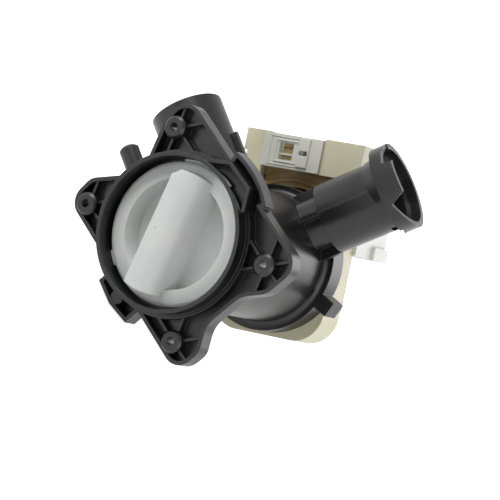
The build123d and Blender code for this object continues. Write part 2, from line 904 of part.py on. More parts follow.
# Non-return valve: a seat clipped into the outlet, and a flap on a pin
seat_top = seat_start + seat_height
hinge_z = seat_top + hinge_rise
window_start = outlet_reach - window_from_mouth - window_length / 2
pin_plane = Plane(
    origin=outlet_plane.from_local_coords(Vector(-hinge_ear_outer, hinge_back, hinge_z)),
    x_dir=outlet_plane.y_dir,
    z_dir=outlet_plane.x_dir,
)
with BuildPart() as valve_seat:
    with BuildSketch(outlet_plane.offset(seat_start)):
        Circle(outlet_bore_r - seat_gap)
        Circle(seat_bore_r, mode=Mode.SUBTRACT)
    extrude(amount=seat_height)
    with BuildSketch(outlet_plane.offset(seat_start + seat_height / 2)):
        for side in (-1, 1):
            with Locations((side * (hinge_ear_inner + hinge_ear_outer) / 2, hinge_back)):
                Rectangle(hinge_ear_outer - hinge_ear_inner, 2 * hinge_ear_half)
    extrude(amount=seat_height / 2 + hinge_rise + hinge_ear_half)
    with BuildSketch(pin_plane):
        Circle(hinge_pin_r)
    extrude(amount=2 * hinge_ear_outer, mode=Mode.SUBTRACT)
    clip_x = outlet_bore_r - seat_gap - 2 * clip_end_gap
    with BuildSketch(outlet_plane.offset(seat_start + seat_height / 2)):
        with Locations((clip_x, 0)):
            Rectangle(clip_wall, 2 * clip_half_width, align=(Align.MAX, Align.CENTER))
    extrude(amount=window_start + window_length - clip_end_gap - seat_start - seat_height / 2)
    with BuildSketch(outlet_plane.offset(window_start + clip_end_gap)):
        with Locations((clip_x - clip_wall, 0)):
            Rectangle(clip_wall + clip_hook, 2 * clip_half_width, align=(Align.MIN, Align.CENTER))
    extrude(amount=window_length - 2 * clip_end_gap)

finish(valve_seat, "valve_seat")

with BuildPart() as valve_pin:
    with BuildSketch(pin_plane):
        Circle(hinge_pin_r)
    extrude(amount=2 * hinge_ear_outer)

finish(valve_pin, "valve_pin")

with BuildPart() as valve_flap:
    with BuildSketch(outlet_plane.offset(seat_top + moving_gap)):
        with Locations((0, -flap_shift)):
            Circle(flap_r)
        with Locations((0, hinge_back / 2)):
            Rectangle(2 * hinge_barrel_half, hinge_back)
    extrude(amount=flap_thickness)
    with BuildSketch(pin_plane.offset(hinge_ear_outer - hinge_barrel_half)):
        Circle(hinge_barrel_r)
    extrude(amount=2 * hinge_barrel_half)
    with BuildSketch(pin_plane):
        Circle(hinge_pin_r + running_gap)
    extrude(amount=2 * hinge_ear_outer, mode=Mode.SUBTRACT)

finish(valve_flap, "valve_flap")

# Motor housing: a front plate with windows, a skirt and pads for the core
with BuildSketch(Plane.XY) as motor_outline:
    with Locations((-motor_left, -motor_low)):
        Rectangle(motor_left + motor_right, motor_low + motor_high, align=(Align.MIN, Align.MIN))
    fillet(motor_outline.vertices().sort_by(Axis.Y)[:2], motor_corner)
    fillet(motor_outline.vertices().sort_by(Axis.Y)[-2:], motor_top_corner)

with BuildPart() as motor_housing:
    with BuildSketch(motor_plane(motor_front)):
        add(motor_outline.sketch)
    extrude(amount=motor_front - motor_back)
    with BuildSketch(motor_plane(motor_front)):
        with Locations((-motor_left, motor_high)):
            Rectangle(2 * head_left_reach, motor_high - head_left_low, align=(Align.CENTER, Align.MAX))
        with Locations((motor_right, motor_high)):
            Rectangle(2 * head_reach, motor_high - head_low, align=(Align.CENTER, Align.MAX))
    extrude(amount=motor_front - motor_back)
    with BuildSketch(motor_plane(motor_front + motor_plate)):
        add(motor_outline.sketch)
        offset(amount=-motor_wall, kind=Kind.INTERSECTION)
    extrude(amount=motor_front + motor_plate - motor_back, mode=Mode.SUBTRACT)
    # Pads that carry the core
    for side in (-1, 1):
        for high in (core_pad_high, core_pad_height - core_pad_low):
            inner = core_half_width - core_pad
            outer = motor_right - motor_wall / 2
            with BuildSketch(motor_plane(motor_front + motor_plate / 2)):
                with Locations((side * (inner + outer) / 2, high - core_pad_height / 2)):
                    Rectangle(outer - inner, core_pad_height)
            extrude(amount=motor_front + motor_plate / 2 - core_front)
            with BuildSketch(motor_plane(core_front)):
                middle = (core_half_width + seat_gap + outer) / 2
                with Locations((side * middle, high - core_pad_height / 2)):
                    Rectangle(outer - core_half_width - seat_gap, core_pad_height)
            extrude(amount=core_front - motor_back)
    # Strip left of the connector, set back from the front plate
    strip_width = motor_left + head_left_reach - connector_left
    with BuildSketch(motor_plane(motor_front + strip_setback)):
        with Locations((-connector_left, strip_low)):
            Rectangle(
                strip_width - head_left_reach,
                motor_high - strip_low - motor_wall / 2,
                align=(Align.MAX, Align.MIN),
            )
    extrude(amount=-motor_plate)
    with BuildSketch(motor_plane(motor_front)):
        with Locations((-connector_left, strip_low)):
            Rectangle(strip_width, motor_high - strip_low, align=(Align.MAX, Align.MIN))
    extrude(amount=-strip_setback, mode=Mode.SUBTRACT)
    # Openings for the can, the coils and the connector
    with BuildSketch(motor_plane(motor_front)):
        Circle(can_r + moving_gap)
        with Locations((-coil_window_left, coil_window_low)):
            Rectangle(
                coil_window_left + coil_window_right,
                coil_window_high - coil_window_low,
                align=(Align.MIN, Align.MIN),
            )
    extrude(amount=-motor_plate, mode=Mode.SUBTRACT)
    with BuildSketch(motor_plane(motor_front)):
        with Locations((-connector_left - seat_gap, connector_low - seat_gap)):
            Rectangle(
                connector_left + connector_right + 2 * seat_gap,
                motor_high,
                align=(Align.MIN, Align.MIN),
            )
    extrude(amount=motor_front - connector_front - connector_depth - seat_gap, mode=Mode.SUBTRACT)
    # Hollow that leaves room for the outlet
    with BuildSketch(outlet_plane):
        Circle(outlet_r + moving_gap)
    extrude(amount=outlet_reach, mode=Mode.SUBTRACT)

finish(motor_housing, "motor_housing")

# Stator core: laminations in the form of a U, open at the foot of its bore
with BuildPart() as stator_core:
    with BuildSketch(motor_plane(core_front)):
        with Locations((0, -core_low)):
            Rectangle(2 * core_half_width, core_low + core_high, align=(Align.CENTER, Align.MIN))
            Rectangle(
                core_slot,
                core_low + leg_low + core_slot,
                align=(Align.CENTER, Align.MIN),
                mode=Mode.SUBTRACT,
            )
        Circle(core_bore_r, mode=Mode.SUBTRACT)
        with Locations((0, leg_low)):
            Rectangle(
                2 * leg_inner,
                leg_high - leg_low,
                align=(Align.CENTER, Align.MIN),
                mode=Mode.SUBTRACT,
            )
        rivet_places = [
            (side * x, v)
            for side in (-1, 1)
            for x, v in ((rivet_low_x, -rivet_low), (rivet_high_x, rivet_high))
        ]
        with Locations(*rivet_places):
            Circle(rivet_r, mode=Mode.SUBTRACT)
    extrude(amount=core_front - core_back)

finish(stator_core, "stator_core")

with BuildPart() as core_rivets:
    with BuildSketch(motor_plane(core_front)):
        with Locations(*rivet_places):
            Circle(rivet_r)
    extrude(amount=core_front - core_back)
    for head in (core_front - rivet_head, core_back):
        with BuildSketch(motor_plane(head)):
            with Locations(*rivet_places):
                Circle(rivet_head_r)
        extrude(amount=-rivet_head)

finish(core_rivets, "core_rivets")

# A bobbin and its taped winding on each leg
leg_middle = (leg_inner + core_half_width) / 2
leg_width = core_half_width - leg_inner
core_depth = core_back - core_front
bobbin_width = leg_width + 2 * bobbin_wall
bobbin_depth = core_depth + 2 * bobbin_wall
coil_planes = {
    "left": Plane(
        origin=motor_plane((core_front + core_back) / 2).from_local_coords(Vector(-leg_middle, 0, 0)),
        x_dir=heading(motor_turn),
        z_dir=heading(motor_turn + quarter_turn),
    ),
    "right": Plane(
        origin=motor_plane((core_front + core_back) / 2).from_local_coords(Vector(leg_middle, 0, 0)),
        x_dir=heading(motor_turn),
        z_dir=heading(motor_turn + quarter_turn),
    ),
}
for side, plane in coil_planes.items():
    with BuildPart() as coil_bobbin:
        with BuildSketch(plane.offset(bobbin_low)):
            Rectangle(bobbin_width, bobbin_depth)
        extrude(amount=bobbin_high - bobbin_low)
        for low in (bobbin_low, bobbin_high - bobbin_flange):
            with BuildSketch(plane.offset(low)):
                RectangleRounded(
                    bobbin_width + 2 * winding_build, bobbin_depth + 2 * winding_build, winding_corner
                )
            extrude(amount=bobbin_flange)
        with BuildSketch(plane.offset(bobbin_low)):
            Rectangle(leg_width + 2 * seat_gap, core_depth + 2 * seat_gap)
        extrude(amount=bobbin_high - bobbin_low, mode=Mode.SUBTRACT)
    finish(coil_bobbin, f"coil_bobbin_{side}")

    with BuildPart() as coil_winding:
        with BuildSketch(plane.offset(bobbin_low + bobbin_flange + seat_gap)):
            RectangleRounded(
                bobbin_width + 2 * winding_build - bobbin_wall,
                bobbin_depth + 2 * winding_build - bobbin_wall,
                winding_corner,
            )
            Rectangle(bobbin_width + seat_gap, bobbin_depth + seat_gap, mode=Mode.SUBTRACT)
        extrude(amount=bobbin_high - bobbin_low - 2 * bobbin_flange - 2 * seat_gap)
    finish(coil_winding, f"coil_winding_{side}")

# Rear cover: a tray over the coils, open towards the motor housing
with BuildPart() as rear_cover:
    with BuildSketch(motor_plane(motor_back + seat_gap)):
        with Locations((-cover_half_width, cover_low)):
            Rectangle(2 * cover_half_width, motor_high - cover_low, align=(Align.MIN, Align.MIN))
    extrude(amount=motor_back + seat_gap - cover_back)
    back_edges = rear_cover.edges().filter_by_position(Axis.Y, cover_back - seat_gap, cover_back + seat_gap)
    chamfer(back_edges, cover_edge)
    with BuildSketch(motor_plane(cover_lug_front)):
        with Locations((cover_half_width, cover_low)):
            Rectangle(2 * cover_lug_reach, cover_lug_height, align=(Align.CENTER, Align.MIN))
    extrude(amount=cover_lug_front - cover_back)
    with BuildSketch(motor_plane(motor_back + seat_gap)):
        with Locations((-cover_half_width + cover_wall, cover_low + cover_wall)):
            Rectangle(
                2 * cover_half_width - 2 * cover_wall,
                motor_high - cover_low - 2 * cover_wall,
                align=(Align.MIN, Align.MIN),
            )
    extrude(amount=motor_back + seat_gap + cover_wall - cover_back, mode=Mode.SUBTRACT)
    with BuildSketch(motor_plane(motor_back + seat_gap)):
        with Locations((0, cover_low + cover_wall / 2)):
            Rectangle(2 * (core_half_width + moving_gap), 2 * cover_wall)
    extrude(amount=motor_back - core_back - moving_gap, mode=Mode.SUBTRACT)
    with BuildSketch(motor_plane(motor_back + seat_gap)):
        Circle(can_r + moving_gap)
    extrude(amount=motor_back - can_end - moving_gap, mode=Mode.SUBTRACT)
    # Stiffening ribs on the back
    with BuildSketch(motor_plane(cover_back)):
        with Locations((0, (cover_low + motor_high) / 2)):
            with GridLocations(cover_rib_pitch, 0, cover_rib_count, 1):
                Rectangle(cover_rib, (motor_high - cover_low) / 2)
    extrude(amount=-cover_rib_height)

finish(rear_cover, "rear_cover")

# Connector block with two blades
socket_floor = connector_high - socket_depth
socket_middle = (socket_right - socket_left) / 2
blade_y = connector_front + connector_depth / 2
blade_places = [socket_middle - blade_pitch / 2, socket_middle + blade_pitch / 2]
with BuildPart() as connector_block:
    with BuildSketch(motor_plane(connector_front)):
        with Locations((-connector_left, connector_low)):
            Rectangle(
                connector_left + connector_right,
                connector_high - connector_low,
                align=(Align.MIN, Align.MIN),
            )
    extrude(amount=-connector_depth)
    with BuildSketch(motor_plane(connector_front + socket_wall)):
        with Locations((-socket_left, socket_floor)):
            Rectangle(socket_left + socket_right, socket_depth + overrun, align=(Align.MIN, Align.MIN))
    extrude(amount=2 * socket_wall - connector_depth, mode=Mode.SUBTRACT)
    # Window of the latch, and the raised plate beside it with its slot
    with BuildSketch(motor_plane(connector_front)):
        with Locations((-latch_right, socket_floor)):
            Rectangle(latch_left - latch_right, latch_top - socket_floor, align=(Align.MAX, Align.MIN))
    extrude(amount=-socket_wall, mode=Mode.SUBTRACT)
    with BuildSketch(motor_plane(connector_front + bar_setback)):
        with Locations((-latch_right, bar_low)):
            Rectangle(latch_left - latch_right, bar_thickness, align=(Align.MAX, Align.MIN))
    extrude(amount=bar_setback - socket_wall)
    with BuildSketch(motor_plane(connector_front)):
        with Locations((plate_left, plate_low)):
            Rectangle(plate_right - plate_left, plate_high - plate_low, align=(Align.MIN, Align.MIN))
    extrude(amount=plate_rise)
    with BuildSketch(motor_plane(connector_front - plate_rise)):
        with Locations((slot_left, slot_low)):
            Rectangle(slot_right - slot_left, slot_height, align=(Align.MIN, Align.MIN))
    extrude(amount=-plate_rise - socket_wall, mode=Mode.SUBTRACT)
    with BuildSketch(motor_plane(blade_y - blade_thickness / 2 - seat_gap)):
        with Locations(*[(x, connector_low) for x in blade_places]):
            Rectangle(
                blade_width + 2 * seat_gap,
                socket_depth,
                align=(Align.CENTER, Align.MIN),
            )
    extrude(amount=-blade_thickness - 2 * seat_gap, mode=Mode.SUBTRACT)

finish(connector_block, "connector_block")

with BuildPart() as terminal_blades:
    with BuildSketch(motor_plane(blade_y - blade_thickness / 2)):
        with Locations(*[(x, connector_low) for x in blade_places]):
            Rectangle(blade_width, blade_length, align=(Align.CENTER, Align.MIN))
    extrude(amount=-blade_thickness)

finish(terminal_blades, "terminal_blades")
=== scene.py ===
import math

import bmesh
import bpy
from mathutils import Matrix, Vector


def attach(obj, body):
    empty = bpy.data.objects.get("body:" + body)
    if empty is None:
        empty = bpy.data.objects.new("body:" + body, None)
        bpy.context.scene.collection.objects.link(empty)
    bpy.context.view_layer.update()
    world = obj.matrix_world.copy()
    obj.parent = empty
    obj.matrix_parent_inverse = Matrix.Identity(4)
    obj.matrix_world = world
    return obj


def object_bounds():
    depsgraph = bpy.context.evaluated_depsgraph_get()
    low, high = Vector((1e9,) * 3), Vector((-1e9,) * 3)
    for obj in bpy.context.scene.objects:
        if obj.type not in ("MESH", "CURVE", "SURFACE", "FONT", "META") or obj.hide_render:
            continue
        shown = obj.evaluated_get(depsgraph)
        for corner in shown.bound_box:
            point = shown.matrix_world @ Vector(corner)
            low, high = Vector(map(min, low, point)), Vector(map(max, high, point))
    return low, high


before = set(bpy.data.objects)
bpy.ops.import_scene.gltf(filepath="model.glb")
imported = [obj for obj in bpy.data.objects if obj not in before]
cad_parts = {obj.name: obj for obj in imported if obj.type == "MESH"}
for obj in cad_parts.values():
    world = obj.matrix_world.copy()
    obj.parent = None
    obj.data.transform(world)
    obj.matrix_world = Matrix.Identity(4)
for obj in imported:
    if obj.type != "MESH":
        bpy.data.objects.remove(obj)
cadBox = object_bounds()
print("frame loaded:", len(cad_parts), "nodes")

scene = bpy.context.scene
scene.view_settings.view_transform = "Standard"
mm = 0.001

# The motor is turned about the pump's axis by this many degrees
motorDegrees = 42.5

# The curve from a screen level of 0 to 255 to the light that it stands for
screenCurve = {"levels": 255, "knee": 0.04045, "slope": 12.92, "lift": 0.055, "power": 2.4}


def linear(red, green, blue):
    lift = screenCurve["lift"]
    channels = []
    for level in (red, green, blue):
        share = level / screenCurve["levels"]
        if share <= screenCurve["knee"]:
            channels.append(share / screenCurve["slope"])
        else:
            channels.append(((share + lift) / (1 + lift)) ** screenCurve["power"])
    return (*channels, 1.0)


# Camera: it looks up the pump's axis from the front right and is rolled
cameraSet = {
    "azimuth": 22.52,
    "elevation": 17.69,
    "roll": 50.25,
    "distance": 1067.1 * mm,
    "lookAt": Vector((7.15, 50.0, 7.48)) * mm,
    "lens": 180.0,
    "sensor": 36.0,
    "reach": 10.0,
}


def placeCamera(settings):
    azimuth = math.radians(settings["azimuth"])
    elevation = math.radians(settings["elevation"])
    back = Vector((
        math.sin(azimuth) * math.cos(elevation),
        -math.cos(azimuth) * math.cos(elevation),
        math.sin(elevation),
    ))
    level = Vector((math.cos(azimuth), math.sin(azimuth), 0))
    upright = back.cross(level)
    roll = math.radians(settings["roll"])
    right = level * math.cos(roll) + upright * math.sin(roll)
    up = back.cross(right)
    data = bpy.data.cameras.new("camera")
    data.lens = settings["lens"]
    data.sensor_width = settings["sensor"]
    data.clip_end = settings["reach"]
    camera = bpy.data.objects.new("camera", data)
    turn = Matrix((right, up, back)).transposed()
    place = settings["lookAt"] + back * settings["distance"]
    camera.matrix_world = Matrix.Translation(place) @ turn.to_4x4()
    scene.collection.objects.link(camera)
    scene.camera = camera
    return back, right, up


viewBack, viewRight, viewUp = placeCamera(cameraSet)
print("camera placed")


# Shared shader groups
def newGroup(name, inputs, outputs):
    group = bpy.data.node_groups.new(name, "ShaderNodeTree")
    for label, kind, value in inputs:
        socket = group.interface.new_socket(name=label, in_out="INPUT", socket_type=kind)
        socket.default_value = value
    for label, kind in outputs:
        group.interface.new_socket(name=label, in_out="OUTPUT", socket_type=kind)
    return group, group.nodes.new("NodeGroupInput"), group.nodes.new("NodeGroupOutput")


def ramp(nodes, low, high, bottom=0.0, top=1.0):
    node = nodes.new("ShaderNodeMapRange")
    values = {"From Min": low, "From Max": high, "To Min": bottom, "To Max": top}
    for label, value in values.items():
        node.inputs[label].default_value = value
    return node


# Fine moulded grain, and a broad uneven tone
grainSet = {
    "scale": 900.0,
    "flow": 40.0,
    "fineDetail": 3,
    "broadDetail": 4,
    "broadRoughness": 0.6,
    "spread": (0.3, 0.7),
}


def makeMouldGrain(settings):
    group, given, put = newGroup(
        "mouldGrain",
        [("Vector", "NodeSocketVector", (0, 0, 0)),
         ("Scale", "NodeSocketFloat", settings["scale"]),
         ("Flow", "NodeSocketFloat", settings["flow"])],
        [("Height", "NodeSocketFloat"), ("Tone", "NodeSocketFloat")],
    )
    nodes, links = group.nodes, group.links
    fine = nodes.new("ShaderNodeTexNoise")
    fine.inputs["Detail"].default_value = settings["fineDetail"]
    broad = nodes.new("ShaderNodeTexNoise")
    broad.inputs["Detail"].default_value = settings["broadDetail"]
    broad.inputs["Roughness"].default_value = settings["broadRoughness"]
    spread = ramp(nodes, *settings["spread"])
    for noise, size in ((fine, "Scale"), (broad, "Flow")):
        links.new(given.outputs["Vector"], noise.inputs["Vector"])
        links.new(given.outputs[size], noise.inputs["Scale"])
    links.new(broad.outputs["Fac"], spread.inputs["Value"])
    links.new(fine.outputs["Fac"], put.inputs["Height"])
    links.new(spread.outputs["Result"], put.inputs["Tone"])
    return group


# Rounded look of the edges, and a mask of where they are, which lays a painted highlight along
# them
edgeSet = {"radius": 0.4 * mm, "samples": 4, "alike": (0.995, 0.86)}


def makeSoftEdge(settings):
    group, given, put = newGroup(
        "softEdge",
        [("Radius", "NodeSocketFloat", settings["radius"])],
        [("Normal", "NodeSocketVector"), ("Edge", "NodeSocketFloat")],
    )
    nodes, links = group.nodes, group.links
    bevel = nodes.new("ShaderNodeBevel")
    bevel.samples = settings["samples"]
    links.new(given.outputs["Radius"], bevel.inputs["Radius"])
    surface = nodes.new("ShaderNodeNewGeometry")
    alike = nodes.new("ShaderNodeVectorMath")
    alike.operation = "DOT_PRODUCT"
    links.new(bevel.outputs["Normal"], alike.inputs[0])
    links.new(surface.outputs["Normal"], alike.inputs[1])
    edge = ramp(nodes, *settings["alike"])
    links.new(alike.outputs["Value"], edge.inputs["Value"])
    links.new(bevel.outputs["Normal"], put.inputs["Normal"])
    links.new(edge.outputs["Result"], put.inputs["Edge"])
    return group


# Even stripes along X once the place is turned about the axis
stripeSet = {"scale": 300.0, "distortion": 0.15, "detail": 2}


def makeStripes(settings):
    group, given, put = newGroup(
        "stripes",
        [("Vector", "NodeSocketVector", (0, 0, 0)),
         ("Axis", "NodeSocketVector", (0, 0, 1)),
         ("Turn", "NodeSocketFloat", 0.0),
         ("Scale", "NodeSocketFloat", settings["scale"])],
        [("Height", "NodeSocketFloat")],
    )
    nodes, links = group.nodes, group.links
    turn = nodes.new("ShaderNodeVectorRotate")
    turn.rotation_type = "AXIS_ANGLE"
    wave = nodes.new("ShaderNodeTexWave")
    wave.inputs["Distortion"].default_value = settings["distortion"]
    wave.inputs["Detail"].default_value = settings["detail"]
    for label, socket in (("Vector", "Vector"), ("Axis", "Axis"), ("Turn", "Angle")):
        links.new(given.outputs[label], turn.inputs[socket])
    links.new(turn.outputs["Vector"], wave.inputs["Vector"])
    links.new(given.outputs["Scale"], wave.inputs["Scale"])
    links.new(wave.outputs["Fac"], put.inputs["Height"])
    return group


groups = {
    "grain": makeMouldGrain(grainSet),
    "edge": makeSoftEdge(edgeSet),
    "stripes": makeStripes(stripeSet),
}
print("shader groups made")


def placeGroup(nodes, key, **values):
    node = nodes.new("ShaderNodeGroup")
    node.node_tree = groups[key]
    for label, value in values.items():
        node.inputs[label].default_value = value
    return node


def mixColours(nodes, links, share, low, high):
    mix = nodes.new("ShaderNodeMix")
    mix.data_type = "RGBA"
    links.new(share, mix.inputs["Factor"])
    sockets = [slot for slot in mix.inputs if slot.type == "RGBA"]
    for socket, value in zip(sockets, (low, high)):
        if isinstance(value, tuple):
            socket.default_value = value
        else:
            links.new(value, socket)
    return next(slot for slot in mix.outputs if slot.type == "RGBA")


def bumped(nodes, links, height, normal, depth, strength=1.0):
    bump = nodes.new("ShaderNodeBump")
    bump.inputs["Strength"].default_value = strength
    bump.inputs["Distance"].default_value = depth
    links.new(height, bump.inputs["Height"])
    links.new(normal, bump.inputs["Normal"])
    return bump.outputs["Normal"]


def aroundPump(nodes, links, place):
    # With Y dropped, the length of a place is its distance from the pump's axis
    flat = nodes.new("ShaderNodeVectorMath")
    flat.operation = "MULTIPLY"
    flat.inputs[1].default_value = (1, 0, 1)
    far = nodes.new("ShaderNodeVectorMath")
    far.operation = "LENGTH"
    spread = nodes.new("ShaderNodeCombineXYZ")
    links.new(place, flat.inputs[0])
    links.new(flat.outputs["Vector"], far.inputs[0])
    links.new(far.outputs["Value"], spread.inputs["X"])
    return spread.outputs["Vector"]


# A wave texture of scale 1 runs through this many radians in each unit of length
waveRate = 20
wavePeriod = math.tau / waveRate


def striped(nodes, links, place, stripes, colour, normal):
    lines = placeGroup(
        nodes, "stripes", Axis=stripes["axis"], Turn=math.radians(stripes["turn"]),
        Scale=wavePeriod / stripes["period"],
    )
    way = aroundPump(nodes, links, place) if stripes["round"] else place
    links.new(way, lines.inputs["Vector"])
    raised = bumped(nodes, links, lines.outputs["Height"], normal, stripes["depth"])
    dim = ramp(nodes, 1, 0, top=stripes["dim"])
    links.new(lines.outputs["Height"], dim.inputs["Value"])
    return mixColours(nodes, links, dim.outputs["Result"], colour, stripes["between"]), raised


def spotted(nodes, links, place, spot, colour):
    apart = nodes.new("ShaderNodeVectorMath")
    apart.operation = "DISTANCE"
    apart.inputs[1].default_value = spot["place"]
    mask = ramp(nodes, spot["radius"], spot["core"])
    links.new(place, apart.inputs[0])
    links.new(apart.outputs["Value"], mask.inputs["Value"])
    return mixColours(nodes, links, mask.outputs["Result"], colour, spot["colour"])


def makeFinish(name, settings):
    material = bpy.data.materials.new(name)
    material.use_nodes = True
    nodes, links = material.node_tree.nodes, material.node_tree.links
    shader = nodes["Principled BSDF"]
    shader.inputs["Metallic"].default_value = settings["metallic"]
    shader.inputs["Coat Weight"].default_value = settings["coat"]
    shader.inputs["Specular IOR Level"].default_value = settings["specular"]
    if "subsurface" in settings:
        shader.inputs["Subsurface Weight"].default_value = settings["subsurface"]
        shader.inputs["Subsurface Radius"].default_value = settings["scatterTint"]
        shader.inputs["Subsurface Scale"].default_value = settings["scatter"]
    place = nodes.new("ShaderNodeTexCoord").outputs["Object"]
    grain = placeGroup(nodes, "grain", Scale=settings["grain"], Flow=settings["flow"])
    edge = placeGroup(nodes, "edge", Radius=settings["edgeRadius"])
    links.new(place, grain.inputs["Vector"])
    base = mixColours(nodes, links, grain.outputs["Tone"], settings["dark"], settings["light"])
    # Every edge is lightened towards this colour: a painted highlight where rims would catch
    # the light
    colour = mixColours(nodes, links, edge.outputs["Edge"], base, settings["paintedEdgeHighlight"])
    normal = bumped(
        nodes, links, grain.outputs["Height"], edge.outputs["Normal"],
        settings["bumpDepth"], settings["bump"],
    )
    if "stripes" in settings:
        colour, normal = striped(nodes, links, place, settings["stripes"], colour, normal)
    if "spot" in settings:
        colour = spotted(nodes, links, place, settings["spot"], colour)
    links.new(colour, shader.inputs["Base Color"])
    rough = ramp(nodes, 0, 1, *settings["rough"])
    links.new(grain.outputs["Tone"], rough.inputs["Value"])
    links.new(rough.outputs["Result"], shader.inputs["Roughness"])
    links.new(normal, shader.inputs["Normal"])
    return material


plain = {
    "grain": 2500.0,
    "flow": 45.0,
    "edgeRadius": 0.35 * mm,
    "bump": 0.25,
    "bumpDepth": 0.06 * mm,
    "metallic": 0.0,
    "coat": 0.0,
    "specular": 0.5,
}
clear = {**plain, "subsurface": 0.15, "scatter": 1.6 * mm, "scatterTint": (1.0, 0.9, 0.7)}
# Each finish's edge colour is a painted highlight, laid along every edge by the edge mask
finishes = {
    "housingBlack": {
        **plain,
        "dark": linear(12, 12, 12),
        "light": linear(21, 21, 21),
        "paintedEdgeHighlight": linear(64, 64, 62),
        "rough": (0.27, 0.38),
        "specular": 0.45,
        "edgeRadius": 0.45 * mm,
    },
    "capGrey": {
        **clear,
        "dark": linear(204, 206, 206),
        "light": linear(213, 214, 212),
        "paintedEdgeHighlight": linear(224, 224, 222),
        "rough": (0.42, 0.52),
        "edgeRadius": 0.7 * mm,
        "stripes": {
            "period": 0.9 * mm, "axis": (0, 0, 1), "turn": 0, "depth": 0.008 * mm,
            "dim": 0.07, "between": linear(184, 187, 190), "round": True,
        },
        "spot": {
            "place": Vector((-3.1, -9.0, -1.4)) * mm, "radius": 0.7 * mm, "core": 0.35 * mm,
            "colour": linear(186, 186, 184),
        },
    },
    "sealRubber": {
        **plain,
        "dark": linear(24, 24, 24),
        "light": linear(34, 34, 34),
        "paintedEdgeHighlight": linear(44, 44, 44),
        "rough": (0.6, 0.72),
    },
    "partPlastic": {
        **plain,
        "dark": linear(92, 93, 94),
        "light": linear(104, 104, 105),
        "paintedEdgeHighlight": linear(130, 130, 130),
        "rough": (0.4, 0.5),
    },
    "motorCream": {
        **clear,
        "dark": linear(208, 203, 174),
        "light": linear(219, 215, 188),
        "paintedEdgeHighlight": linear(228, 225, 203),
        "rough": (0.38, 0.5),
    },
    "coverWhite": {
        **clear,
        "dark": linear(218, 219, 214),
        "light": linear(227, 228, 224),
        "paintedEdgeHighlight": linear(233, 234, 230),
        "rough": (0.36, 0.48),
    },
    "connectorWhite": {
        **clear,
        "dark": linear(207, 208, 197),
        "light": linear(217, 218, 208),
        "paintedEdgeHighlight": linear(227, 228, 220),
        "rough": (0.32, 0.42),
    },
    "shroudAmber": {
        **clear,
        "dark": linear(178, 142, 90),
        "light": linear(216, 194, 146),
        "paintedEdgeHighlight": linear(218, 200, 158),
        "rough": (0.36, 0.46),
        "flow": 60.0,
    },
    "latchTan": {
        **clear,
        "dark": linear(214, 188, 132),
        "light": linear(228, 206, 154),
        "paintedEdgeHighlight": linear(236, 220, 178),
        "rough": (0.3, 0.4),
    },
    "windingTape": {
        **plain,
        "dark": linear(112, 78, 42),
        "light": linear(146, 104, 58),
        "paintedEdgeHighlight": linear(170, 128, 80),
        "rough": (0.22, 0.34),
        "coat": 0.4,
        "stripes": {
            "period": 3.2 * mm, "axis": (0, 1, 0), "turn": motorDegrees, "depth": 0.12 * mm,
            "dim": 0.5, "between": linear(84, 56, 30), "round": False,
        },
    },
    "sheetSteel": {
        **plain,
        "dark": linear(128, 128, 130),
        "light": linear(152, 152, 154),
        "paintedEdgeHighlight": linear(180, 180, 180),
        "rough": (0.32, 0.45),
        "metallic": 1.0,
        "stripes": {
            "period": 1.3 * mm, "axis": (0, 0, 1), "turn": 90, "depth": 0.05 * mm,
            "dim": 0.6, "between": linear(62, 60, 58), "round": False,
        },
    },
    "magnetGrey": {
        **plain,
        "dark": linear(62, 62, 64),
        "light": linear(80, 80, 82),
        "paintedEdgeHighlight": linear(104, 104, 104),
        "rough": (0.5, 0.62),
    },
    "brightSteel": {
        **plain,
        "dark": linear(176, 176, 176),
        "light": linear(196, 196, 196),
        "paintedEdgeHighlight": linear(214, 214, 214),
        "rough": (0.2, 0.3),
        "metallic": 1.0,
    },
    "sinterBronze": {
        **plain,
        "dark": linear(120, 92, 58),
        "light": linear(140, 110, 72),
        "paintedEdgeHighlight": linear(160, 130, 92),
        "rough": (0.4, 0.5),
        "metallic": 1.0,
    },
}

# The finish that each piece of the source wears
wears = {
    "housingBlack": ["pump_housing", "rotor_can", "valve_seat"],
    "capGrey": ["filter_cap", "filter_basket"],
    "sealRubber": ["cap_seal", "body_seal", "front_bearing_mount", "rear_bearing_mount",
                   "lash_buffers", "valve_flap"],
    "partPlastic": ["impeller", "drive_dog", "rotor_hub", "thrust_washer"],
    "motorCream": ["motor_housing", "coil_bobbin_left", "coil_bobbin_right"],
    "coverWhite": ["rear_cover"],
    "connectorWhite": ["connector_block"],
    "windingTape": ["coil_winding_left", "coil_winding_right"],
    "sheetSteel": ["stator_core"],
    "magnetGrey": ["rotor_magnet"],
    "brightSteel": ["core_rivets", "rotor_shaft", "terminal_blades", "valve_pin"],
    "sinterBronze": ["front_bearing", "rear_bearing"],
}
materials = {finish: makeFinish(finish, settings) for finish, settings in finishes.items()}
for finish, names in wears.items():
    for name in names:
        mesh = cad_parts[name].data
        mesh.materials.clear()
        mesh.materials.append(materials[finish])
print("finishes on", sum(len(names) for names in wears.values()), "nodes")


# Trim of the motor, in the motor's own frame: across, out and depth in millimetres
motorTurn = math.radians(motorDegrees)
motorAcross = Vector((math.cos(motorTurn), 0, math.sin(motorTurn)))
motorOut = Vector((-math.sin(motorTurn), 0, math.cos(motorTurn)))


def motorPoint(across, out, depth):
    return (motorAcross * across + motorOut * out + Vector((0, depth, 0))) * mm


def addPiece(name, form, finish, body):
    bmesh.ops.recalc_face_normals(form, faces=form.faces)
    mesh = bpy.data.meshes.new(name)
    form.to_mesh(mesh)
    form.free()
    piece = bpy.data.objects.new(name, mesh)
    scene.collection.objects.link(piece)
    mesh.materials.append(materials[finish])
    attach(piece, body)


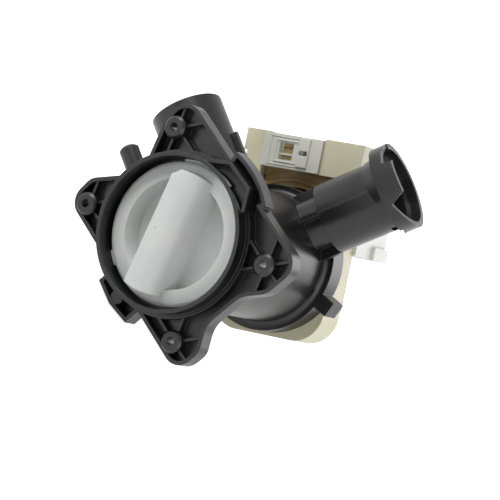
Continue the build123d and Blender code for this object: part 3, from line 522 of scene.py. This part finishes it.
# Amber end of the coil forms: a profile of radius and depth with two ridges, turned part of
# the way about the axis and cut off at both sides and at the top
shroudSet = {
    "profile": [(33.4, 101.2), (35.3, 101.2), (35.7, 100.45), (37.2, 100.45), (37.6, 101.3),
                (40.2, 101.3), (40.6, 100.7), (44.0, 100.7), (44.0, 101.9), (33.4, 101.9)],
    "start": 60.0,
    "sweep": 66.0,
    "steps": 44,
    "side": 17.2,
    "top": 43.0,
}


def makeShroud(settings):
    form = bmesh.new()
    start = math.radians(settings["start"])
    corners = [
        form.verts.new(motorPoint(radius * math.cos(start), radius * math.sin(start), depth))
        for radius, depth in settings["profile"]
    ]
    edges = [
        form.edges.new((corners[index - 1], corners[index])) for index in range(len(corners))
    ]
    bmesh.ops.spin(
        form, geom=edges, cent=(0, 0, 0), axis=(0, -1, 0),
        angle=math.radians(settings["sweep"]), steps=settings["steps"], use_merge=False,
    )
    cuts = [
        (motorAcross * settings["side"], motorAcross),
        (-motorAcross * settings["side"], -motorAcross),
        (motorOut * settings["top"], motorOut),
    ]
    for place, way in cuts:
        bmesh.ops.bisect_plane(
            form, geom=form.verts[:] + form.edges[:] + form.faces[:],
            plane_co=place * mm, plane_no=way, clear_outer=True,
        )
    openEdges = [edge for edge in form.edges if edge.is_boundary]
    bmesh.ops.holes_fill(form, edges=openEdges, sides=0)
    addPiece("coilShroud", form, "shroudAmber", "housing")


def addBlock(form, centre, half, front, back, chamfer):
    made = bmesh.ops.create_cube(form, size=2.0)["verts"]
    for vert in made:
        across = centre[0] + vert.co.x * half[0]
        out = centre[1] + vert.co.z * half[1]
        vert.co = motorPoint(across, out, front if vert.co.y < 0 else back)
    edges = {edge for vert in made for edge in vert.link_edges}
    bmesh.ops.bevel(
        form, geom=list(edges), offset=chamfer * mm, affect="EDGES", segments=2, profile=0.5,
        material=-1,
    )


# Tan piece in the connector's latch window: blocks with slits between them
linerSet = {
    "centre": (-6.0, 48.05),
    "half": (3.45, 3.8),
    "front": 97.9,
    "back": 99.3,
    "chamfer": 0.35,
    "slits": [-1.9, 1.9],
    "slitHalf": 0.35,
}


def makeLiner(settings):
    form = bmesh.new()
    across, out = settings["centre"]
    wide, high = settings["half"]
    levels = [-high]
    for slit in settings["slits"]:
        levels += [slit - settings["slitHalf"], slit + settings["slitHalf"]]
    levels.append(high)
    for low, top in zip(levels[::2], levels[1::2]):
        addBlock(
            form, (across, out + (low + top) / 2), (wide, (top - low) / 2),
            settings["front"], settings["back"], settings["chamfer"],
        )
    addPiece("latchLiner", form, "latchTan", "housing")


# Stepped frame on the connector's front; each step gives its left side, its half height,
# its front and the width of its rails
frameSet = {
    "middle": 48.05,
    "right": 0.0,
    "steps": [(-11.2, 4.8, 94.2, 0.5), (-14.2, 6.3, 94.3, 0.4)],
    "back": 94.7,
    "chamfer": 0.12,
}


def makeLatchFrame(settings):
    form = bmesh.new()
    middle, right = settings["middle"], settings["right"]
    for left, high, front, width in settings["steps"]:
        along = ((right - left) / 2, width / 2)
        rails = [
            ((left, middle), (width / 2, high + width / 2)),
            (((left + right) / 2, middle - high), along),
            (((left + right) / 2, middle + high), along),
        ]
        for centre, half in rails:
            addBlock(form, centre, half, front, settings["back"], settings["chamfer"])
    addPiece("latchFrame", form, "connectorWhite", "housing")


makeShroud(shroudSet)
makeLiner(linerSet)
makeLatchFrame(frameSet)
print("motor pieces made")


# Floor, lights and world
stageSet = {"size": 3.0, "gap": 0.5 * mm, "glow": 0.8, "shade": 0.8, "rough": 0.9}
worldSet = {"lit": 0.2, "seen": 1.0}
lampPlain = {"distance": 1.1, "size": 0.7}
lampSets = [
    {**lampPlain, "name": "keyLamp", "turn": (-0.1, 1.0, 0.35), "power": 10.5},
    {**lampPlain, "name": "frontLamp", "turn": (0.4, -0.4, 1.0), "power": 3.6},
    {**lampPlain, "name": "backLamp", "turn": (0.85, 0.0, -0.6), "power": 4.2},
    {**lampPlain, "name": "sideLamp", "turn": (1.0, -0.85, 0.0), "size": 0.4, "power": 3.4},
]


# One for camera, glossy and transmission rays, nought for all others
def backdropRays(nodes, links):
    path = nodes.new("ShaderNodeLightPath")
    total = path.outputs["Is Camera Ray"]
    for ray in ("Is Glossy Ray", "Is Transmission Ray"):
        larger = nodes.new("ShaderNodeMath")
        larger.operation = "MAXIMUM"
        links.new(total, larger.inputs[0])
        links.new(path.outputs[ray], larger.inputs[1])
        total = larger.outputs[0]
    return total


def makeFloor(settings):
    form = bmesh.new()
    bmesh.ops.create_grid(form, x_segments=1, y_segments=1, size=settings["size"])
    level = min(corner[2] for corner in cadBox) - settings["gap"]
    bmesh.ops.translate(form, verts=form.verts, vec=(0, 0, level))
    mesh = bpy.data.meshes.new("floor")
    form.to_mesh(mesh)
    form.free()
    floor = bpy.data.objects.new("floor", mesh)
    scene.collection.objects.link(floor)
    material = bpy.data.materials.new("floorWhite")
    material.use_nodes = True
    nodes, links = material.node_tree.nodes, material.node_tree.links
    shader = nodes["Principled BSDF"]
    shader.inputs["Base Color"].default_value = (settings["shade"],) * 3 + (1.0,)
    shader.inputs["Roughness"].default_value = settings["rough"]
    shader.inputs["Emission Color"].default_value = (1, 1, 1, 1)
    seen = nodes.new("ShaderNodeMath")
    seen.operation = "MULTIPLY"
    seen.inputs[1].default_value = settings["glow"]
    links.new(backdropRays(nodes, links), seen.inputs[0])
    links.new(seen.outputs[0], shader.inputs["Emission Strength"])
    mesh.materials.append(material)


# A lamp's turn is its direction from the part in the view: right, up and back
def makeLamp(settings):
    data = bpy.data.lights.new(settings["name"], "AREA")
    data.shape = "SQUARE"
    data.size = settings["size"]
    data.energy = settings["power"]
    lamp = bpy.data.objects.new(settings["name"], data)
    right, up, back = settings["turn"]
    away = (viewRight * right + viewUp * up + viewBack * back).normalized()
    place = cameraSet["lookAt"] + away * settings["distance"]
    aim = away.to_track_quat("Z", "Y").to_matrix().to_4x4()
    lamp.matrix_world = Matrix.Translation(place) @ aim
    scene.collection.objects.link(lamp)


def makeWorld(settings):
    world = bpy.data.worlds.new("world")
    world.use_nodes = True
    nodes, links = world.node_tree.nodes, world.node_tree.links
    background = nodes["Background"]
    background.inputs["Color"].default_value = (1, 1, 1, 1)
    level = ramp(nodes, 0, 1, settings["lit"], settings["seen"])
    links.new(backdropRays(nodes, links), level.inputs["Value"])
    links.new(level.outputs["Result"], background.inputs["Strength"])
    scene.world = world


makeFloor(stageSet)
for lampSet in lampSets:
    makeLamp(lampSet)
makeWorld(worldSet)
print("stage and lamps set")
